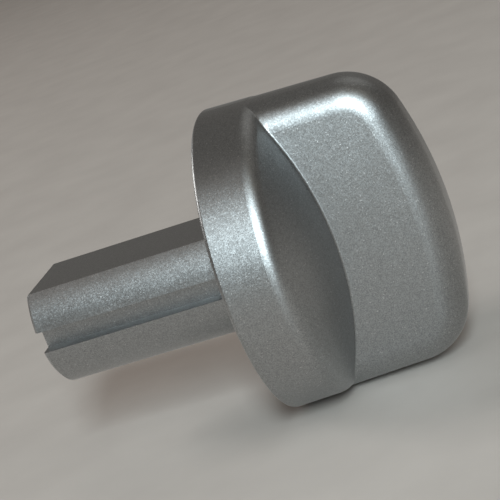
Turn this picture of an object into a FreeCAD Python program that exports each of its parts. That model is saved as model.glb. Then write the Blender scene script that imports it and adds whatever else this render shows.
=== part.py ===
import FreeCAD, Part
import math
import os
import Sketcher

# Push-on oven temperature knob.
# Frame: millimetres, +Z up. The shaft axis lies along Y. The origin is the
# centre of the stem's end face, at the mouth of the shaft socket. The stem
# runs from there towards -Y, then the skirt, then the head with its grip bar,
# whose domed front faces -Y. The grip bar and the flat of the stem both point
# to +Z, the knob's "off" position. Heights named "rise" are measured forwards
# from the plane of the skirt's rear rim.

os.makedirs("parts", exist_ok=True)
doc = FreeCAD.newDocument("oven_temperature_knob")

# ---------------------------------------------------------------- dimensions
sheet = doc.addObject("Spreadsheet::Sheet", "sizes")
DIMENSIONS = [
    # skirt
    ("skirt_radius", 20.0, "radius of the skirt at its rear rim"),
    ("skirt_draft", 2.5, "taper of the skirt's outer side, degrees"),
    ("rim_round", 0.45, "rounding of the rear rim's outer edge"),
    ("skirt_edge_round", 2.4, "rounding of the skirt's front outer edge"),
    ("shelf_rise", 12.7, "rise of the domed shelf on the axis"),
    ("shelf_curve", 40.0, "radius of the domed shelf"),
    # head and grip bar
    ("head_radius", 19.79, "radius of the head where it leaves the skirt"),
    ("head_base", 3.0, "rise where the head starts, inside the skirt"),
    ("head_draft", 2.0, "taper of the head's ends, degrees"),
    ("head_corner", 7.6, "rounding between the head's ends and its front"),
    ("front_rise", 26.3, "rise of the domed front on the axis"),
    ("front_curve", 54.0, "radius of the domed front"),
    ("grip_half", 5.85, "half thickness of the grip bar in the middle of its sides"),
    ("grip_curve", 153.0, "radius of the grip bar's slightly bulging sides"),
    ("grip_lean", 4.0, "how far the grip bar's sides lean in towards the front, degrees"),
    ("grip_middle", 17.0, "rise at which the grip bar has its stated thickness"),
    ("grip_round", 4.2, "rounding along the edges of the grip bar"),
    ("crease_round", 0.35, "rounding in the crease between the grip bar and the shelf"),
    # stem
    ("stem_radius", 8.5, "radius of the stem"),
    ("stem_length", 28.4, "length of the stem behind the rear rim"),
    ("stem_root", 8.0, "rise of the stem's root inside the head"),
    ("stem_flat", 5.75, "distance of the stem's flat from the axis"),
    ("key_groove_up", 1.05, "upper edge of the side grooves above the axis"),
    ("key_groove_down", 1.8, "lower edge of the side grooves below the axis"),
    ("key_groove_floor", 5.9, "distance of the side grooves' floor from the axis"),
    ("stem_edge_round", 0.35, "rounding of the stem's end edges"),
    # hollow behind the skirt
    ("hollow_radius", 17.4, "radius of the hollow behind the skirt"),
    ("hollow_depth", 6.6, "depth of the hollow behind the skirt"),
    ("rib_half", 0.7, "half thickness of the ribs in the hollow"),
    ("rib_drop", 2.2, "depth of the ribs below the rear rim"),
    # shaft socket
    ("lead_in_radius", 4.2, "radius of the round lead-in of the socket"),
    ("lead_in_depth", 2.6, "depth of the round lead-in"),
    ("socket_radius", 3.05, "radius of the socket, for a 6 mm shaft"),
    ("socket_flat", 2.15, "distance of the socket's flat wall from the axis"),
    ("socket_depth", 21.0, "depth of the socket from the stem's end"),
    ("fold_seat_depth", 3.5, "depth of the seat of the spring's fold"),
    ("slot_in", 3.05, "inner wall of the spring's slot, from the axis"),
    ("slot_out", 3.5, "outer wall of the spring's slot, from the axis"),
    ("slot_half", 1.7, "half width of the spring's slot"),
    ("slot_depth", 13.2, "depth of the spring's slot from the stem's end"),
    # spring clip
    ("clip_thick", 0.4, "thickness of the spring strip"),
    ("clip_half", 1.6, "half width of the spring strip"),
    ("clip_inner_leg", 14.0, "depth of the bowed leg from the stem's end"),
    ("clip_outer_leg", 12.8, "depth of the straight leg from the stem's end"),
    ("clip_bow", 0.42, "how far the bowed leg stands into the socket"),
]
for row, (alias, value, note) in enumerate(DIMENSIONS, start=1):
    sheet.set("A%d" % row, note)
    sheet.set("B%d" % row, repr(value))
    sheet.setAlias("B%d" % row, alias)
doc.recompute()
D = {alias: float(sheet.get(alias)) for alias, _v, _n in DIMENSIONS}


# ------------------------------------------------------------------- helpers
def plane_of(body, role):
    for feature in body.Origin.OriginFeatures:
        if getattr(feature, "Role", "") == role:
            return feature
    raise RuntimeError("no origin plane " + role)


def new_sketch(body, name, role):
    sketch = body.newObject("Sketcher::SketchObject", name)
    sketch.AttachmentSupport = [(plane_of(body, role), "")]
    sketch.MapMode = "FlatFace"
    return sketch


def V(x, y):
    return FreeCAD.Vector(x, y, 0)


def bind(sketch, name, constraint, expression):
    index = sketch.addConstraint(constraint)
    sketch.renameConstraint(index, name)
    sketch.setExpression("Constraints." + name, expression)
    return index


def volume(body):
    return body.Shape.Volume


HAXIS = -1     # the sketch's own horizontal axis


def turned_profile(sketch, base, radius, draft, corner, curve, crown, rim=None):
    """Half profile of a turned form: a flat base, a tapered side, a rounded
    front corner and a domed front whose centre of curvature is on the axis.
    Every argument is the text of an expression over the sheet's cells."""
    value = lambda text: cell_value(text)
    b, r, a = value(base), value(radius), math.radians(value(draft))
    rc, rd, top = value(corner), value(curve), value(crown)
    e = value(rim) if rim else 0.0
    L = D["stem_length"]
    slope = math.tan(a)
    # centre of the front corner's arc, by fixed point iteration
    ch = top - rc
    for _ in range(60):
        cr = r - slope * (ch - b) - rc / math.cos(a)
        ch = (top - rd) + math.sqrt((rd - rc) ** 2 - cr ** 2)
    tangent_side = (ch + rc * math.sin(a), cr + rc * math.cos(a))
    k = rc / (rd - rc)
    tangent_dome = (ch + (ch - (top - rd)) * k, cr + cr * k)
    at = lambda p: V(-(L + p[0]), p[1])

    def arc(centre, rad, p, q):
        c = at(centre)
        a0 = math.atan2(at(p).y - c.y, at(p).x - c.x)
        a1 = math.atan2(at(q).y - c.y, at(q).x - c.x)
        return Part.ArcOfCircle(Part.Circle(c, FreeCAD.Vector(0, 0, 1), rad), a0, a1)

    P0 = (b, 0.0)
    if rim:
        # base corner rounded by the rim arc, tangent to base and side
        rr = r - e / math.cos(a) - slope * e
        rim_c = (b + e, rr)
        P1 = (b, rr)
        P2 = (b + e + e * math.sin(a), rr + e * math.cos(a))
    else:
        P1 = P2 = (b, r)
    base_line = sketch.addGeometry(Part.LineSegment(at(P0), at(P1)), False)
    side = sketch.addGeometry(Part.LineSegment(at(tangent_side), at(P2)), False)
    # arcs run counter-clockwise as the sketch sees them
    corner_arc = sketch.addGeometry(arc((ch, cr), rc, tangent_side, tangent_dome), False)
    dome_arc = sketch.addGeometry(arc((top - rd, 0.0), rd, tangent_dome, (top, 0.0)), False)
    axis_line = sketch.addGeometry(Part.LineSegment(at((top, 0.0)), at(P0)), False)
    C = Sketcher.Constraint
    sketch.addConstraint(C("Coincident", base_line, 1, axis_line, 2))
    sketch.addConstraint(C("Vertical", base_line))
    sketch.addConstraint(C("PointOnObject", base_line, 1, HAXIS))
    if rim:
        rim_arc = sketch.addGeometry(arc(rim_c, e, P1, P2), False)
        sketch.addConstraint(C("Tangent", base_line, 2, rim_arc, 1))
        sketch.addConstraint(C("Tangent", rim_arc, 2, side, 2))
        bind(sketch, "rim_round", C("Radius", rim_arc, e), rim)
        # the rim circle reaches the stated radius
        bind(sketch, "rim_height", C("DistanceY", -1, 1, rim_arc, 3, rr),
             "%s - %s / cos(%s * 1deg) - tan(%s * 1deg) * %s" % (radius, rim, draft, draft, rim))
    else:
        sketch.addConstraint(C("Coincident", base_line, 2, side, 2))
        bind(sketch, "base_radius", C("DistanceY", -1, 1, base_line, 2, r), radius)
    sketch.addConstraint(C("Tangent", side, 1, corner_arc, 1))
    sketch.addConstraint(C("Tangent", corner_arc, 2, dome_arc, 1))
    sketch.addConstraint(C("Coincident", dome_arc, 2, axis_line, 1))
    sketch.addConstraint(C("PointOnObject", axis_line, 1, HAXIS))
    sketch.addConstraint(C("PointOnObject", dome_arc, 3, HAXIS))
    bind(sketch, "base", C("DistanceX", base_line, 1, -1, 1, L + b),
         "sizes.stem_length + " + base)
    bind(sketch, "draft", C("Angle", side, a), draft + " * 1deg")
    bind(sketch, "corner", C("Radius", corner_arc, rc), corner)
    bind(sketch, "curve", C("Radius", dome_arc, rd), curve)
    bind(sketch, "crown", C("DistanceX", axis_line, 1, -1, 1, L + top),
         "sizes.stem_length + " + crown)


def cell_value(text):
    """Value of a plain sum or single cell name, for the starting geometry."""
    total = 0.0
    for term in text.split("+"):
        term = term.strip()
        total += D[term[len("sizes."):]] if term.startswith("sizes.") else float(term)
    return total


def closed_outline(sketch, pieces):
    """Adds lines and arcs that follow each other, and joins their ends."""
    ids = []
    for kind, geometry, reverse in pieces:
        ids.append((sketch.addGeometry(geometry, False), reverse))
    for i, (one, one_reversed) in enumerate(ids):
        other, other_reversed = ids[(i + 1) % len(ids)]
        sketch.addConstraint(Sketcher.Constraint(
            "Coincident", one, 1 if one_reversed else 2, other, 2 if other_reversed else 1))
    return [i for i, _ in ids]


def fix_point(sketch, geometry, pos, x, y, xname=None, yname=None):
    """Dimensions a point from the origin. x and y are (value, expression)."""
    C = Sketcher.Constraint
    for axis, (number, text) in (("DistanceX", x), ("DistanceY", y)):
        if text is None:
            continue
        label = "%s_%d_%d" % ("px" if axis == "DistanceX" else "py", geometry, pos)
        if number >= 0:
            bind(sketch, label, C(axis, -1, 1, geometry, pos, number), text)
        else:
            bind(sketch, label, C(axis, geometry, pos, -1, 1, -number), text)


def arc_about_origin(radius, p, q):
    a0 = math.atan2(p[1], p[0])
    a1 = math.atan2(q[1], q[0])
    return Part.ArcOfCircle(Part.Circle(V(0, 0), FreeCAD.Vector(0, 0, 1), radius), a0, a1)


# ==================================================================== knob
knob = doc.addObject("PartDesign::Body", "knob_body")
knob.Label = "knob_body"

# --- head: turned form with a domed front, cut down to a bar, edges rounded
head_sketch = new_sketch(knob, "head_profile", "YZ_Plane")
turned_profile(head_sketch, "sizes.head_base", "sizes.head_radius", "sizes.head_draft",
               "sizes.head_corner", "sizes.front_curve", "sizes.front_rise")
doc.recompute()
head = knob.newObject("PartDesign::Revolution", "head_form")
head.Profile = head_sketch
head.ReferenceAxis = (head_sketch, ["H_Axis"])
head.Angle = 360.0
doc.recompute()
full_head = volume(knob)

sides_sketch = new_sketch(knob, "grip_sides", "XZ_Plane")
C = Sketcher.Constraint
# the cuts start inside the skirt and spread towards the front, so the bar's
# sides lean in; this is the bar's half thickness where the cuts start
g = D["grip_half"] + (D["grip_middle"] - D["head_base"] + 1) * math.tan(math.radians(D["grip_lean"]))
start_half = "(sizes.grip_half + (sizes.grip_middle - sizes.head_base + 1) * tan(sizes.grip_lean * 1deg))"
sides_sketch.AttachmentOffset = FreeCAD.Placement(
    FreeCAD.Vector(0, 0, D["stem_length"] + D["head_base"] - 1), FreeCAD.Rotation())
sides_sketch.setExpression("AttachmentOffset.Base.z", "sizes.stem_length + sizes.head_base - 1")
w, bulge = D["skirt_radius"] + 6, D["grip_curve"]
spread = math.asin(w / bulge)
x_end = g - (bulge - math.sqrt(bulge * bulge - w * w))
for sign, tag in ((1, "right"), (-1, "left")):
    # a box beside the bar, whose inner side is the bulging flank
    low = Part.LineSegment(V(sign * x_end, -w), V(sign * w, -w))
    outer = Part.LineSegment(V(sign * w, -w), V(sign * w, w))
    high = Part.LineSegment(V(sign * w, w), V(sign * x_end, w))
    middle = 0.0 if sign > 0 else math.pi
    flank = Part.ArcOfCircle(Part.Circle(V(sign * (g - bulge), 0), FreeCAD.Vector(0, 0, 1), bulge),
                             middle - spread, middle + spread)
    low, outer, high, flank = [sides_sketch.addGeometry(piece, False) for piece in (low, outer, high, flank)]
    # the flank's arc runs upwards on the right and downwards on the left
    bottom, top = (1, 2) if sign > 0 else (2, 1)
    sides_sketch.addConstraint(C("Coincident", low, 2, outer, 1))
    sides_sketch.addConstraint(C("Coincident", outer, 2, high, 1))
    sides_sketch.addConstraint(C("Coincident", high, 2, flank, top))
    sides_sketch.addConstraint(C("Coincident", flank, bottom, low, 1))
    sides_sketch.addConstraint(C("Horizontal", low))
    sides_sketch.addConstraint(C("Horizontal", high))
    sides_sketch.addConstraint(C("Vertical", outer))
    sides_sketch.addConstraint(C("PointOnObject", flank, 3, HAXIS))
    bind(sides_sketch, "bulge_" + tag, C("Radius", flank, bulge), "sizes.grip_curve")
    if sign > 0:
        bind(sides_sketch, "flank_" + tag, C("DistanceX", flank, 3, -1, 1, bulge - g),
             "sizes.grip_curve - " + start_half)
        bind(sides_sketch, "outer_" + tag, C("DistanceX", -1, 1, outer, 1, w), "sizes.skirt_radius + 6")
    else:
        bind(sides_sketch, "flank_" + tag, C("DistanceX", -1, 1, flank, 3, bulge - g),
             "sizes.grip_curve - " + start_half)
        bind(sides_sketch, "outer_" + tag, C("DistanceX", outer, 1, -1, 1, w), "sizes.skirt_radius + 6")
    bind(sides_sketch, "low_" + tag, C("DistanceY", outer, 1, -1, 1, w), "sizes.skirt_radius + 6")
    bind(sides_sketch, "high_" + tag, C("DistanceY", -1, 1, outer, 2, w), "sizes.skirt_radius + 6")
doc.recompute()
sides = knob.newObject("PartDesign::Pocket", "grip_sides_cut")
sides.Profile = sides_sketch
sides.setExpression("Length", "sizes.front_rise")
sides.setExpression("TaperAngle", "sizes.grip_lean * 1deg")
sides.Reversed = True
doc.recompute()
if not volume(knob) < 0.75 * full_head:
    raise RuntimeError("the grip's sides were not cut")



def thickness_at(rise):
    """Thickness of the bar on the level of the shaft axis."""
    y = -(D["stem_length"] + rise)
    return knob.Shape.common(Part.makeLine(FreeCAD.Vector(-30, y, 0), FreeCAD.Vector(30, y, 0))).Length


print("grip thickness", [round(thickness_at(rise), 3) for rise in (8, 12, 17, 22)])
if not thickness_at(20) < thickness_at(10) - 0.1:
    raise RuntimeError("the grip's sides do not lean in towards the front")

def flank_at(p):
    """Half thickness of the bar at the rise and height of a point."""
    spread = (-p.y - D["stem_length"] - D["head_base"] + 1) * math.tan(math.radians(D["grip_lean"]))
    radius = bulge - spread
    return g - bulge + math.sqrt(radius * radius - p.z * p.z)


rounded = []
base_y = -(D["stem_length"] + D["head_base"])
for i, edge in enumerate(knob.Shape.Edges, start=1):
    points = [edge.valueAt(edge.FirstParameter + k * (edge.LastParameter - edge.FirstParameter)) for k in (0, 0.5, 1)]
    if all(abs(p.y - base_y) < 1e-4 for p in points):
        continue
    # on a side: where the bar's section at that rise has its flank
    if all(abs(abs(p.x) - flank_at(p)) < 5e-3 for p in points):
        rounded.append("Edge%d" % i)
if len(rounded) != 10:
    raise RuntimeError("the edges of the grip bar were not found")
grip_fillet = knob.newObject("PartDesign::Fillet", "grip_rounding")
grip_fillet.Base = (sides, rounded)
grip_fillet.setExpression("Radius", "sizes.grip_round")
doc.recompute()
bar_volume = volume(knob)

# --- skirt: turned, with the domed shelf that shows on both sides of the bar
skirt_sketch = new_sketch(knob, "skirt_profile", "YZ_Plane")
turned_profile(skirt_sketch, "0.0", "sizes.skirt_radius", "sizes.skirt_draft",
               "sizes.skirt_edge_round", "sizes.shelf_curve", "sizes.shelf_rise",
               rim="sizes.rim_round")
doc.recompute()
skirt = knob.newObject("PartDesign::Revolution", "skirt_form")
skirt.Profile = skirt_sketch
skirt.ReferenceAxis = (skirt_sketch, ["H_Axis"])
skirt.Angle = 360.0
doc.recompute()
if not volume(knob) > bar_volume:
    raise RuntimeError("the skirt was not added")

# --- small rounding in the crease between the grip bar and the shelf
crease = []
shelf_centre = FreeCAD.Vector(0, D["shelf_curve"] - D["shelf_rise"] - D["stem_length"], 0)
for i, edge in enumerate(knob.Shape.Edges, start=1):
    middle = edge.valueAt(0.5 * (edge.FirstParameter + edge.LastParameter))
    points = [v.Point for v in edge.Vertexes] + [middle]
    beside_bar = all(abs(p.x) < D["grip_half"] + 2 for p in points) and edge.Length > 20
    on_shelf = all(abs((p - shelf_centre).Length - D["shelf_curve"]) < 2e-3 for p in points)
    if beside_bar and on_shelf:
        crease.append("Edge%d" % i)
if len(crease) != 2:
    raise RuntimeError("the crease beside the grip bar was not found")
before_crease = volume(knob)
crease_fillet = knob.newObject("PartDesign::Fillet", "crease_rounding")
crease_fillet.Base = (skirt, crease)
crease_fillet.setExpression("Radius", "sizes.crease_round")
doc.recompute()
if not volume(knob) > before_crease + 0.5:
    raise RuntimeError("the crease was not rounded")

# --- hollow behind the skirt
solid_before = volume(knob)
hollow_sketch = new_sketch(knob, "hollow_profile", "YZ_Plane")
L = D["stem_length"]
x_out, x_in = -(L - 1.0), -(L + D["hollow_depth"])
r_out = D["hollow_radius"]
ring = [V(x_out, 0.0), V(x_out, r_out), V(x_in, r_out), V(x_in, 0.0)]
ids = [hollow_sketch.addGeometry(Part.LineSegment(ring[i], ring[(i + 1) % 4]), False) for i in range(4)]
C = Sketcher.Constraint
for i in range(4):
    hollow_sketch.addConstraint(C("Coincident", ids[i], 2, ids[(i + 1) % 4], 1))
for i in (0, 2):
    hollow_sketch.addConstraint(C("Vertical", ids[i]))
hollow_sketch.addConstraint(C("Horizontal", ids[1]))
hollow_sketch.addConstraint(C("PointOnObject", ids[0], 1, HAXIS))
hollow_sketch.addConstraint(C("PointOnObject", ids[2], 2, HAXIS))
bind(hollow_sketch, "wall", C("DistanceY", -1, 1, ids[1], 1, r_out), "sizes.hollow_radius")
bind(hollow_sketch, "mouth", C("DistanceX", ids[0], 1, -1, 1, -x_out), "sizes.stem_length - 1")
bind(hollow_sketch, "floor", C("DistanceX", ids[2], 1, -1, 1, -x_in), "sizes.stem_length + sizes.hollow_depth")
doc.recompute()
hollow = knob.newObject("PartDesign::Groove", "hollow_cut")
hollow.Profile = hollow_sketch
hollow.ReferenceAxis = (hollow_sketch, ["H_Axis"])
hollow.Angle = 360.0
doc.recompute()
if not volume(knob) < solid_before - 1000:
    raise RuntimeError("the hollow behind the skirt was not cut")

# --- four ribs in the hollow, from the stem out to the skirt's wall
rib_sketch = new_sketch(knob, "rib_section", "XZ_Plane")
t, reach, root = D["rib_half"], D["hollow_radius"] + 0.8, D["stem_flat"] + 1.5
c45 = math.sqrt(0.5)
rib_sketch.AttachmentOffset = FreeCAD.Placement(
    FreeCAD.Vector(0, 0, D["stem_length"] + D["rib_drop"]), FreeCAD.Rotation())
rib_sketch.setExpression("AttachmentOffset.Base.z", "sizes.stem_length + sizes.rib_drop")
for k in range(4):
    ang = math.radians(45 + 90 * k)
    ux, uy = math.cos(ang), math.sin(ang)
    px, py = -uy, ux
    pts = [(root * ux - t * px, root * uy - t * py), (reach * ux - t * px, reach * uy - t * py),
           (reach * ux + t * px, reach * uy + t * py), (root * ux + t * px, root * uy + t * py)]
    ids = [rib_sketch.addGeometry(Part.LineSegment(V(*pts[i]), V(*pts[(i + 1) % 4])), False)
           for i in range(4)]
    for i in range(4):
        rib_sketch.addConstraint(C("Coincident", ids[i], 2, ids[(i + 1) % 4], 1))
    rib_sketch.addConstraint(C("Parallel", ids[0], ids[2]))
    rib_sketch.addConstraint(C("Perpendicular", ids[0], ids[1]))
    rib_sketch.addConstraint(C("Parallel", ids[1], ids[3]))
    # the rib's middle line points away from the axis
    mid = rib_sketch.addGeometry(Part.LineSegment(V(0, 0), V(root * ux, root * uy)), True)
    rib_sketch.addConstraint(C("Coincident", mid, 1, -1, 1))
    rib_sketch.addConstraint(C("Symmetric", ids[3], 1, ids[3], 2, mid, 2))
    rib_sketch.addConstraint(C("Perpendicular", mid, ids[3]))
    rib_sketch.addConstraint(C("Angle", mid, ang if ang <= math.pi else ang - 2 * math.pi))
    bind(rib_sketch, "root_%d" % k, C("Distance", mid, root), "sizes.stem_flat + 1.5")
    bind(rib_sketch, "reach_%d" % k, C("Distance", ids[0], reach - root),
         "sizes.hollow_radius - 0.7 - sizes.stem_flat")
    bind(rib_sketch, "thick_%d" % k, C("Distance", ids[1], 2 * t), "2 * sizes.rib_half")
doc.recompute()
before_ribs = volume(knob)
ribs = knob.newObject("PartDesign::Pad", "ribs")
ribs.Profile = rib_sketch
ribs.setExpression("Length", "sizes.hollow_depth - sizes.rib_drop + 0.5")
doc.recompute()
if not volume(knob) > before_ribs + 10:
    raise RuntimeError("the ribs were not added")

# --- stem: round, one flat, one square groove down each side
stem_sketch = new_sketch(knob, "stem_section", "XZ_Plane")
rs, fl = D["stem_radius"], D["stem_flat"]
gu, gd, gf = D["key_groove_up"], D["key_groove_down"], D["key_groove_floor"]
w = math.sqrt(rs * rs - fl * fl)
xu, xd = math.sqrt(rs * rs - gu * gu), math.sqrt(rs * rs - gd * gd)
seg = lambda p, q: Part.LineSegment(V(*p), V(*q))
outline = [
    ("flat", seg((w, fl), (-w, fl)), False),
    ("arc", arc_about_origin(rs, (-w, fl), (-xu, gu)), False),
    ("l1", seg((-xu, gu), (-gf, gu)), False),
    ("l2", seg((-gf, gu), (-gf, -gd)), False),
    ("l3", seg((-gf, -gd), (-xd, -gd)), False),
    ("arc", arc_about_origin(rs, (-xd, -gd), (xd, -gd)), False),
    ("r3", seg((xd, -gd), (gf, -gd)), False),
    ("r2", seg((gf, -gd), (gf, gu)), False),
    ("r1", seg((gf, gu), (xu, gu)), False),
    ("arc", arc_about_origin(rs, (xu, gu), (w, fl)), False),
]
ids = closed_outline(stem_sketch, outline)
for i in (0, 2, 4, 6, 8):
    stem_sketch.addConstraint(C("Horizontal", ids[i]))
for i in (3, 7):
    stem_sketch.addConstraint(C("Vertical", ids[i]))
for i in (1, 5, 9):
    stem_sketch.addConstraint(C("Coincident", ids[i], 3, -1, 1))
bind(stem_sketch, "stem_radius", C("Radius", ids[1], rs), "sizes.stem_radius")
stem_sketch.addConstraint(C("Equal", ids[1], ids[5]))
stem_sketch.addConstraint(C("Equal", ids[1], ids[9]))
bind(stem_sketch, "flat", C("DistanceY", -1, 1, ids[0], 1, fl), "sizes.stem_flat")
bind(stem_sketch, "up_left", C("DistanceY", -1, 1, ids[2], 2, gu), "sizes.key_groove_up")
bind(stem_sketch, "up_right", C("DistanceY", -1, 1, ids[8], 1, gu), "sizes.key_groove_up")
bind(stem_sketch, "down_left", C("DistanceY", ids[4], 1, -1, 1, gd), "sizes.key_groove_down")
bind(stem_sketch, "down_right", C("DistanceY", ids[6], 2, -1, 1, gd), "sizes.key_groove_down")
bind(stem_sketch, "floor_left", C("DistanceX", ids[3], 1, -1, 1, gf), "sizes.key_groove_floor")
bind(stem_sketch, "floor_right", C("DistanceX", -1, 1, ids[7], 1, gf), "sizes.key_groove_floor")
doc.recompute()
before_stem = volume(knob)
stem = knob.newObject("PartDesign::Pad", "stem")
stem.Profile = stem_sketch
stem.setExpression("Length", "sizes.stem_length + sizes.stem_root")
doc.recompute()
if not volume(knob) > before_stem + 3000:
    raise RuntimeError("the stem was not added")

# end edges of the stem, slightly rounded
end_edges = []
for i, edge in enumerate(knob.Shape.Edges, start=1):
    pts = [v.Point for v in edge.Vertexes]
    middle = edge.valueAt(0.5 * (edge.FirstParameter + edge.LastParameter))
    on_end = all(abs(p.y) < 1e-6 for p in pts + [middle])
    on_outside = abs(math.hypot(middle.x, middle.z) - rs) < 1e-5 or abs(middle.z - fl) < 1e-5
    if on_end and on_outside:
        end_edges.append("Edge%d" % i)
end_round = knob.newObject("PartDesign::Chamfer", "stem_end_edges")
end_round.Base = (stem, end_edges)
end_round.setExpression("Size", "sizes.stem_edge_round")
doc.recompute()

# --- socket: round lead-in, then a D for the shaft, then the spring's slot
def pocket(name, sketch, depth_expression, least):
    before = volume(knob)
    cut = knob.newObject("PartDesign::Pocket", name)
    cut.Profile = sketch
    cut.setExpression("Length", depth_expression)
    cut.Reversed = True
    doc.recompute()
    if not volume(knob) < before - least:
        raise RuntimeError(name + " cut nothing")
    return cut


lead_sketch = new_sketch(knob, "lead_in_section", "XZ_Plane")
ring = lead_sketch.addGeometry(
    Part.Circle(V(0, 0), FreeCAD.Vector(0, 0, 1), D["lead_in_radius"]), False)
lead_sketch.addConstraint(C("Coincident", ring, 3, -1, 1))
bind(lead_sketch, "lead_in", C("Radius", ring, D["lead_in_radius"]), "sizes.lead_in_radius")
doc.recompute()
pocket("lead_in", lead_sketch, "sizes.lead_in_depth", 50)

socket_sketch = new_sketch(knob, "socket_section", "XZ_Plane")
sr, sf = D["socket_radius"], D["socket_flat"]
sw = math.sqrt(sr * sr - sf * sf)
ids = closed_outline(socket_sketch, [
    ("flat", seg((sw, sf), (-sw, sf)), False),
    ("arc", arc_about_origin(sr, (-sw, sf), (sw, sf)), False),
])
socket_sketch.addConstraint(C("Horizontal", ids[0]))
socket_sketch.addConstraint(C("Coincident", ids[1], 3, -1, 1))
bind(socket_sketch, "socket_radius", C("Radius", ids[1], sr), "sizes.socket_radius")
bind(socket_sketch, "socket_flat", C("DistanceY", -1, 1, ids[0], 1, sf), "sizes.socket_flat")
doc.recompute()
pocket("socket", socket_sketch, "sizes.socket_depth", 400)

# seat of the spring's fold: the wall between socket and slot starts lower
seat_sketch = new_sketch(knob, "fold_seat_section", "XZ_Plane")
a, b0, b1 = D["slot_half"], D["socket_flat"], D["slot_out"]
pts = [(-a, b0), (a, b0), (a, b1), (-a, b1)]
ids = [seat_sketch.addGeometry(Part.LineSegment(V(*pts[i]), V(*pts[(i + 1) % 4])), False)
       for i in range(4)]
for i in range(4):
    seat_sketch.addConstraint(C("Coincident", ids[i], 2, ids[(i + 1) % 4], 1))
for i in (0, 2):
    seat_sketch.addConstraint(C("Horizontal", ids[i]))
for i in (1, 3):
    seat_sketch.addConstraint(C("Vertical", ids[i]))
bind(seat_sketch, "seat_in", C("DistanceY", -1, 1, ids[0], 1, b0), "sizes.socket_flat")
bind(seat_sketch, "seat_out", C("DistanceY", -1, 1, ids[2], 1, b1), "sizes.slot_out")
bind(seat_sketch, "seat_right", C("DistanceX", -1, 1, ids[1], 1, a), "sizes.slot_half")
bind(seat_sketch, "seat_left", C("DistanceX", ids[3], 1, -1, 1, a), "sizes.slot_half")
doc.recompute()
pocket("fold_seat", seat_sketch, "sizes.fold_seat_depth", 1)

slot_sketch = new_sketch(knob, "slot_section", "XZ_Plane")
a, b0, b1 = D["slot_half"], D["slot_in"], D["slot_out"]
pts = [(-a, b0), (a, b0), (a, b1), (-a, b1)]
ids = [slot_sketch.addGeometry(Part.LineSegment(V(*pts[i]), V(*pts[(i + 1) % 4])), False)
       for i in range(4)]
for i in range(4):
    slot_sketch.addConstraint(C("Coincident", ids[i], 2, ids[(i + 1) % 4], 1))
for i in (0, 2):
    slot_sketch.addConstraint(C("Horizontal", ids[i]))
for i in (1, 3):
    slot_sketch.addConstraint(C("Vertical", ids[i]))
bind(slot_sketch, "slot_in", C("DistanceY", -1, 1, ids[0], 1, b0), "sizes.slot_in")
bind(slot_sketch, "slot_out", C("DistanceY", -1, 1, ids[2], 1, b1), "sizes.slot_out")
bind(slot_sketch, "slot_right", C("DistanceX", -1, 1, ids[1], 1, a), "sizes.slot_half")
bind(slot_sketch, "slot_left", C("DistanceX", ids[3], 1, -1, 1, a), "sizes.slot_half")
doc.recompute()
pocket("spring_slot", slot_sketch, "sizes.slot_depth", 8)

# ============================================================== spring clip
# A strip of spring steel folded over the flat wall of the socket: one straight
# leg in the slot, one bowed leg that bears on the flat of the shaft.
clip = doc.addObject("PartDesign::Body", "shaft_spring_clip")
clip.Label = "shaft_spring_clip"
clip_sketch = new_sketch(clip, "clip_side", "YZ_Plane")
ct, bow = D["clip_thick"], D["clip_bow"]
wall_in, wall_out = D["socket_flat"], D["slot_in"]
y_mouth = -D["fold_seat_depth"]
y_inner, y_outer = -D["clip_inner_leg"], -D["clip_outer_leg"]
mid_z = 0.5 * (wall_in + wall_out)
half = 0.5 * (wall_out - wall_in)
# outer leg: z from wall_out to wall_out + ct; inner leg: z from wall_in - ct to wall_in
y_flat = y_mouth - 1.2
points = {
    "outer_tip_in": (y_outer, wall_out), "outer_tip_out": (y_outer, wall_out + ct),
    "outer_root_out": (y_mouth, wall_out + ct), "outer_root_in": (y_mouth, wall_out),
    "inner_root_in": (y_mouth, wall_in), "inner_root_out": (y_mouth, wall_in - ct),
    "inner_flat_in": (y_flat, wall_in), "inner_flat_out": (y_flat, wall_in - ct),
    "inner_tip_in": (y_inner, wall_in), "inner_tip_out": (y_inner, wall_in - ct),
}
y_mid = 0.5 * (y_flat + y_inner)


def through(p, m, q):
    return Part.Arc(V(*p), V(*m), V(*q))


P = points
crown_in = (y_mid, wall_in - bow)
crown_out = (y_mid, wall_in - bow - ct)
geometry = [
    seg(P["outer_tip_in"], P["outer_root_in"]),
    through(P["outer_root_in"], (y_mouth + half, mid_z), P["inner_root_in"]),
    seg(P["inner_root_in"], P["inner_flat_in"]),
    through(P["inner_flat_in"], crown_in, P["inner_tip_in"]),
    seg(P["inner_tip_in"], P["inner_tip_out"]),
    through(P["inner_tip_out"], crown_out, P["inner_flat_out"]),
    seg(P["inner_flat_out"], P["inner_root_out"]),
    through(P["inner_root_out"], (y_mouth + half + ct, mid_z), P["outer_root_out"]),
    seg(P["outer_root_out"], P["outer_tip_out"]),
    seg(P["outer_tip_out"], P["outer_tip_in"]),
]
ids = [clip_sketch.addGeometry(g, False) for g in geometry]


def end_at(geometry_id, point):
    """1 or 2: which end of the piece is at the point, or 0."""
    for pos in (1, 2):
        q = clip_sketch.getPoint(geometry_id, pos)
        if abs(q.x - point[0]) < 1e-6 and abs(q.y - point[1]) < 1e-6:
            return pos
    return 0


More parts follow.
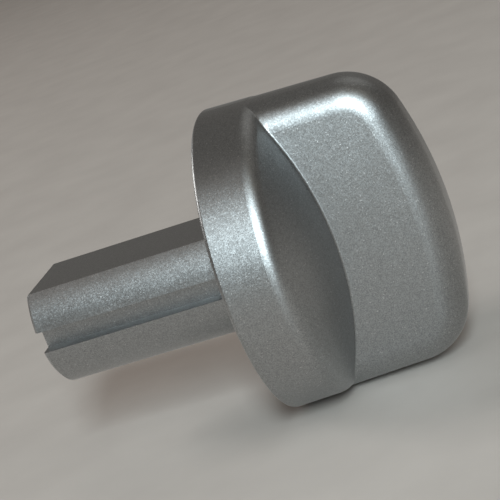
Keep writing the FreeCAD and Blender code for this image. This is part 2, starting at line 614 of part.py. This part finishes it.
order = ["outer_tip_in", "outer_root_in", "inner_root_in", "inner_flat_in", "inner_tip_in",
         "inner_tip_out", "inner_flat_out", "inner_root_out", "outer_root_out", "outer_tip_out"]
for i, name in enumerate(order):
    one, other = ids[i - 1], ids[i]
    clip_sketch.addConstraint(C("Coincident", one, end_at(one, P[name]), other, end_at(other, P[name])))
CLIP_EXPRESSIONS = {
    "outer_tip_in": ("sizes.clip_outer_leg", "sizes.slot_in"),
    "outer_tip_out": ("sizes.clip_outer_leg", "sizes.slot_in + sizes.clip_thick"),
    "outer_root_out": ("sizes.fold_seat_depth", "sizes.slot_in + sizes.clip_thick"),
    "outer_root_in": ("sizes.fold_seat_depth", "sizes.slot_in"),
    "inner_root_in": ("sizes.fold_seat_depth", "sizes.socket_flat"),
    "inner_root_out": ("sizes.fold_seat_depth", "sizes.socket_flat - sizes.clip_thick"),
    "inner_flat_in": ("sizes.fold_seat_depth + 1.2", "sizes.socket_flat"),
    "inner_flat_out": ("sizes.fold_seat_depth + 1.2", "sizes.socket_flat - sizes.clip_thick"),
    "inner_tip_in": ("sizes.clip_inner_leg", "sizes.socket_flat"),
    "inner_tip_out": ("sizes.clip_inner_leg", "sizes.socket_flat - sizes.clip_thick"),
}
for i, name in enumerate(order):
    pos = end_at(ids[i], P[name])
    ex, ez = CLIP_EXPRESSIONS[name]
    fix_point(clip_sketch, ids[i], pos, (P[name][0], ex), (P[name][1], ez))
# the two arcs of the fold are half circles about the middle of the wall
bind(clip_sketch, "fold_in", C("DistanceX", ids[1], 3, -1, 1, -y_mouth), "sizes.fold_seat_depth")
bind(clip_sketch, "fold_out", C("DistanceX", ids[7], 3, -1, 1, -y_mouth), "sizes.fold_seat_depth")
# the bow is a shallow arc: radius from its chord and its rise
chord = "(sizes.clip_inner_leg - sizes.fold_seat_depth - 1.2)"
rad = ((0.5 * (y_flat - y_inner)) ** 2 + bow ** 2) / (2 * bow)
for tag, gid in (("bow_in", ids[3]), ("bow_out", ids[5])):
    bind(clip_sketch, tag, C("Radius", gid, rad),
         "((%s / 2) ^ 2 + sizes.clip_bow ^ 2) / (2 * sizes.clip_bow)" % chord)
doc.recompute()
clip_pad = clip.newObject("PartDesign::Pad", "clip_strip")
clip_pad.Profile = clip_sketch
clip_pad.Midplane = True
clip_pad.setExpression("Length", "2 * sizes.clip_half")
doc.recompute()

# ------------------------------------------------------------------ writing
doc.recompute()
for obj in doc.Objects:
    if "Invalid" in obj.State or "Error" in obj.State:
        raise RuntimeError("%s is in state %s" % (obj.Name, obj.State))
for body in (knob, clip):
    shape = body.Shape
    if shape.isNull() or not shape.isValid() or len(shape.Solids) != 1:
        raise RuntimeError("%s is not one valid solid" % body.Label)
    box = shape.BoundBox
    print(body.Label, "volume %.1f mm3" % shape.Volume,
          "box %.2f %.2f %.2f to %.2f %.2f %.2f" % (box.XMin, box.YMin, box.ZMin, box.XMax, box.YMax, box.ZMax),
          "faces", len(shape.Faces))
for body in (knob, clip):
    body.Shape.exportStep("parts/%s.step" % body.Label)
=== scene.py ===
import math

import bpy
from mathutils import Matrix, Vector

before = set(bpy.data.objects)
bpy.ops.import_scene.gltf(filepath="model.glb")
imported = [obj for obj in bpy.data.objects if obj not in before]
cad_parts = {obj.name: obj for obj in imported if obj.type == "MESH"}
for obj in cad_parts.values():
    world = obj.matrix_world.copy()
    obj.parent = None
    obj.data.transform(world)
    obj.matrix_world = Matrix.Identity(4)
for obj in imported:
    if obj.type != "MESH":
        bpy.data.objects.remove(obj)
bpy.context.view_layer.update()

MM = 0.001


# ---------------------------------------------------------------- node helpers
def new_material(name):
    """A node material with its shader and output, and what is needed to add to it."""
    mat = bpy.data.materials.new(name)
    mat.use_nodes = True
    tree = mat.node_tree
    tree.nodes.clear()
    out = tree.nodes.new("ShaderNodeOutputMaterial")
    shader = tree.nodes.new("ShaderNodeBsdfPrincipled")
    tree.links.new(shader.outputs["BSDF"], out.inputs["Surface"])
    return mat, tree, shader


def node(tree, kind, **settings):
    n = tree.nodes.new(kind)
    for key, value in settings.items():
        setattr(n, key, value)
    return n


def math_node(tree, operation, a, b=None, clamp=False):
    n = node(tree, "ShaderNodeMath", operation=operation, use_clamp=clamp)
    for i, v in enumerate((a, b)):
        if v is None:
            continue
        if isinstance(v, (int, float)):
            n.inputs[i].default_value = v
        else:
            tree.links.new(v, n.inputs[i])
    return n.outputs[0]


def vector_node(tree, operation, a, b=None, scale=None):
    n = node(tree, "ShaderNodeVectorMath", operation=operation)
    for i, v in enumerate((a, b)):
        if v is None:
            continue
        if isinstance(v, (tuple, list)):
            n.inputs[i].default_value = v
        else:
            tree.links.new(v, n.inputs[i])
    if scale is not None:
        n.inputs["Scale"].default_value = scale
    return n.outputs["Value"] if operation in ("LENGTH", "DISTANCE", "DOT_PRODUCT") else n.outputs["Vector"]


def ramp(tree, value, low, high, to_low=0.0, to_high=1.0, smooth=False):
    n = node(tree, "ShaderNodeMapRange", clamp=True)
    n.interpolation_type = "SMOOTHSTEP" if smooth else "LINEAR"
    n.inputs["From Min"].default_value = low
    n.inputs["From Max"].default_value = high
    n.inputs["To Min"].default_value = to_low
    n.inputs["To Max"].default_value = to_high
    tree.links.new(value, n.inputs["Value"])
    return n.outputs["Result"]


def mix_colour(tree, factor, a, b):
    n = node(tree, "ShaderNodeMix", data_type="RGBA", blend_type="MIX")
    tree.links.new(factor, n.inputs["Factor"])
    for key, v in (("A", a), ("B", b)):
        socket = next(s for s in n.inputs if s.name == key and s.type == "RGBA")
        if isinstance(v, (tuple, list)):
            socket.default_value = (*v, 1.0) if len(v) == 3 else v
        else:
            tree.links.new(v, socket)
    return next(s for s in n.outputs if s.type == "RGBA")


# ---------------------------------------------------------------- materials
FLAKE_ROUGH = 0.45
FLAKE_DARK, FLAKE_LIGHT = (0.16, 0.168, 0.174), (0.36, 0.373, 0.382)
FINE_TILT, COARSE_TILT = 0.105, 0.025
VARNISH_ROUGH = 0.38
DOME_TOP, DOME_RADIUS = 54.7 * MM, 54.0 * MM


def silver_flake_paint():
    """Silver flakes that lie nearly flat, under a clear, glossy varnish."""
    mat, t, shader = new_material("silver_flake_paint")
    t.nodes.remove(shader)
    out = next(n for n in t.nodes if n.type == "OUTPUT_MATERIAL")
    place = node(t, "ShaderNodeTexCoord").outputs["Object"]

    # flakes: each one is a small cell with a tilt and a brightness
    fine = node(t, "ShaderNodeTexVoronoi", voronoi_dimensions="3D", feature="F1")
    fine.inputs["Scale"].default_value = 1 / (0.11 * MM)
    coarse = node(t, "ShaderNodeTexVoronoi", voronoi_dimensions="3D", feature="F1")
    coarse.inputs["Scale"].default_value = 1 / (0.23 * MM)
    for v in (fine, coarse):
        t.links.new(place, v.inputs["Vector"])

    def tilt(v, amount):
        centred = vector_node(t, "SUBTRACT", v.outputs["Color"], (0.5, 0.5, 0.5))
        return vector_node(t, "SCALE", centred, scale=amount)

    # in the middle of the domed front the turned surface closes to a point, so
    # there the normal is worked out from the dome's radius
    from_pole = vector_node(t, "SUBTRACT", place, (0.0, -DOME_TOP, 0.0))
    spread = vector_node(t, "MULTIPLY", from_pole, (1.0, 0.0, 1.0))
    dome = vector_node(t, "NORMALIZE", vector_node(t, "ADD", spread, (0.0, -DOME_RADIUS, 0.0)))
    to_world = node(t, "ShaderNodeVectorTransform", vector_type="NORMAL",
                    convert_from="OBJECT", convert_to="WORLD")
    t.links.new(dome, to_world.inputs["Vector"])
    at_pole = ramp(t, vector_node(t, "LENGTH", from_pole), 1.9 * MM, 2.3 * MM, 1.0, 0.0)
    blend = node(t, "ShaderNodeMix", data_type="VECTOR")
    t.links.new(at_pole, blend.inputs["Factor"])
    side_a, side_b = [i for i in blend.inputs if i.type == "VECTOR" and i.name in ("A", "B")]
    t.links.new(node(t, "ShaderNodeNewGeometry").outputs["Normal"], side_a)
    t.links.new(to_world.outputs["Vector"], side_b)
    blended = next(o for o in blend.outputs if o.type == "VECTOR")
    normal = vector_node(t, "NORMALIZE", blended)
    jitter = vector_node(t, "ADD", tilt(fine, FINE_TILT), tilt(coarse, COARSE_TILT))
    flaked = vector_node(t, "NORMALIZE", vector_node(t, "ADD", normal, jitter))

    split = node(t, "ShaderNodeSeparateColor")
    t.links.new(fine.outputs["Color"], split.inputs["Color"])
    plain = mix_colour(t, split.outputs["Red"], FLAKE_DARK, FLAKE_LIGHT)
    glint = ramp(t, split.outputs["Blue"], 0.990, 0.993)
    colour = mix_colour(t, glint, plain, (0.58, 0.58, 0.58))

    uneven = node(t, "ShaderNodeTexNoise", noise_dimensions="3D")
    uneven.inputs["Scale"].default_value = 1 / (3.0 * MM)
    uneven.inputs["Detail"].default_value = 3.0
    t.links.new(place, uneven.inputs["Vector"])

    flakes = node(t, "ShaderNodeBsdfAnisotropic", distribution="BECKMANN")
    t.links.new(colour, flakes.inputs["Color"])
    t.links.new(ramp(t, uneven.outputs["Fac"], 0.3, 0.7, FLAKE_ROUGH - 0.01, FLAKE_ROUGH + 0.01),
                flakes.inputs["Roughness"])
    t.links.new(flaked, flakes.inputs["Normal"])

    varnish = node(t, "ShaderNodeBsdfAnisotropic", distribution="GGX")
    varnish.inputs["Color"].default_value = (1.0, 1.0, 1.0, 1.0)
    varnish.inputs["Roughness"].default_value = VARNISH_ROUGH
    t.links.new(normal, varnish.inputs["Normal"])

    edge = node(t, "ShaderNodeFresnel")
    edge.inputs["IOR"].default_value = 2.3
    t.links.new(normal, edge.inputs["Normal"])
    both = node(t, "ShaderNodeMixShader")
    t.links.new(edge.outputs["Fac"], both.inputs[0])
    t.links.new(flakes.outputs["BSDF"], both.inputs[1])
    t.links.new(varnish.outputs["BSDF"], both.inputs[2])
    t.links.new(both.outputs["Shader"], out.inputs["Surface"])
    return mat


def spring_strip():
    mat, t, shader = new_material("spring_strip_steel")
    place = node(t, "ShaderNodeTexCoord").outputs["Object"]
    grain = node(t, "ShaderNodeTexNoise", noise_dimensions="3D")
    grain.inputs["Scale"].default_value = 1 / (0.25 * MM)
    grain.inputs["Detail"].default_value = 4.0
    stretched = node(t, "ShaderNodeMapping")
    stretched.inputs["Scale"].default_value = (1.0, 0.06, 1.0)
    t.links.new(place, stretched.inputs["Vector"])
    t.links.new(stretched.outputs["Vector"], grain.inputs["Vector"])
    colour = mix_colour(t, ramp(t, grain.outputs["Fac"], 0.3, 0.7), (0.46, 0.46, 0.47), (0.62, 0.62, 0.63))
    t.links.new(colour, shader.inputs["Base Color"])
    t.links.new(ramp(t, grain.outputs["Fac"], 0.3, 0.7, 0.24, 0.36), shader.inputs["Roughness"])
    shader.inputs["Metallic"].default_value = 1.0
    return mat


def table_top():
    mat, t, shader = new_material("pale_floor")
    place = node(t, "ShaderNodeTexCoord").outputs["Object"]
    mottle = node(t, "ShaderNodeTexNoise", noise_dimensions="3D")
    mottle.inputs["Scale"].default_value = 1 / (14 * MM)
    mottle.inputs["Detail"].default_value = 4.0
    t.links.new(place, mottle.inputs["Vector"])
    colour = mix_colour(t, ramp(t, mottle.outputs["Fac"], 0.3, 0.7), (0.53, 0.482, 0.45), (0.575, 0.525, 0.49))
    t.links.new(colour, shader.inputs["Base Color"])
    shader.inputs["Roughness"].default_value = 0.6
    shader.inputs["Specular IOR Level"].default_value = 0.3
    return mat


paint = silver_flake_paint()
steel = spring_strip()

for name, mat in (("knob_body", paint), ("shaft_spring_clip", steel)):
    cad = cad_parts[name]
    cad.data.materials.clear()
    cad.data.materials.append(mat)

# ---------------------------------------------------------------- floor
SKIRT_RADIUS = 20.0 * MM
floor_mesh = bpy.data.meshes.new("floor")
half = 4.0
floor_mesh.from_pydata(
    [(-half, -half, 0), (half, -half, 0), (half, half, 0), (-half, half, 0)], [], [(0, 1, 2, 3)]
)
floor = bpy.data.objects.new("floor", floor_mesh)
floor.location = (0, 0, -SKIRT_RADIUS)
bpy.context.scene.collection.objects.link(floor)
floor_mesh.materials.append(table_top())

# ---------------------------------------------------------------- light
AIM = Vector((0, -0.030, 0))


def area_light(name, direction, distance, size, power, colour=(1, 1, 1), size_y=None):
    """A soft panel at that direction and distance from the knob, facing it."""
    data = bpy.data.lights.new(name, "AREA")
    data.shape = "RECTANGLE" if size_y else "SQUARE"
    data.size = size
    if size_y:
        data.size_y = size_y
    data.energy = power
    data.color = colour
    lamp = bpy.data.objects.new(name, data)
    d = Vector(direction).normalized()
    lamp.location = AIM + d * distance
    lamp.rotation_mode = "QUATERNION"
    lamp.rotation_quaternion = d.to_track_quat("Z", "Y")
    bpy.context.scene.collection.objects.link(lamp)
    return lamp


def toward(azimuth, elevation):
    """Direction by compass angle round Z (0 = -Y, 90 = +X) and height, in degrees."""
    a, e = math.radians(azimuth), math.radians(elevation)
    return math.sin(a) * math.cos(e), -math.cos(a) * math.cos(e), math.sin(e)


area_light("key", toward(286, 30), 1.0, 0.165, 8.4, (0.82, 0.96, 1.0), 0.43)
area_light("floor_behind", toward(168, 34), 1.2, 0.5, 4.6, (1.0, 0.98, 0.95))
area_light("fill_front_left", toward(255, 50), 0.8, 0.6, 0.24, (1.0, 0.8, 0.68))
area_light("fill_front_right", toward(315, 50), 0.8, 0.6, 0.24, (1.0, 0.88, 0.7))
area_light("fill_right", toward(60, 50), 0.8, 0.45, 0.19, (1.0, 1.0, 0.95))

world = bpy.data.worlds.new("room")
bpy.context.scene.world = world
world.use_nodes = True
world.node_tree.nodes["Background"].inputs["Color"].default_value = (1.0, 0.93, 0.85, 1)
world.node_tree.nodes["Background"].inputs["Strength"].default_value = 0.145

# ---------------------------------------------------------------- camera
right = Vector((0.16130444, -0.92332929, -0.34848803))
up = Vector((0.31160105, -0.28740072, 0.90570725))
back = Vector((-0.93642173, -0.25468383, 0.24135136))
nod = 1 / 1800  # the optical axis passes one pixel below the picture's middle
back, up = back * math.cos(nod) - up * math.sin(nod), up * math.cos(nod) + back * math.sin(nod)

cam_data = bpy.data.cameras.new("camera")
cam_data.sensor_width = 36.0
cam_data.lens = 129.6
cam_data.clip_start = 0.01
cam_data.clip_end = 20.0
camera = bpy.data.objects.new("camera", cam_data)
turn = Matrix((right, up, back)).transposed()
camera.matrix_world = Matrix.Translation(Vector((-216.70, -87.30, 56.80)) * MM) @ turn.to_4x4()
bpy.context.scene.collection.objects.link(camera)
bpy.context.scene.camera = camera

bpy.context.scene.view_settings.view_transform = "Standard"
bpy.context.scene.view_settings.look = "None"
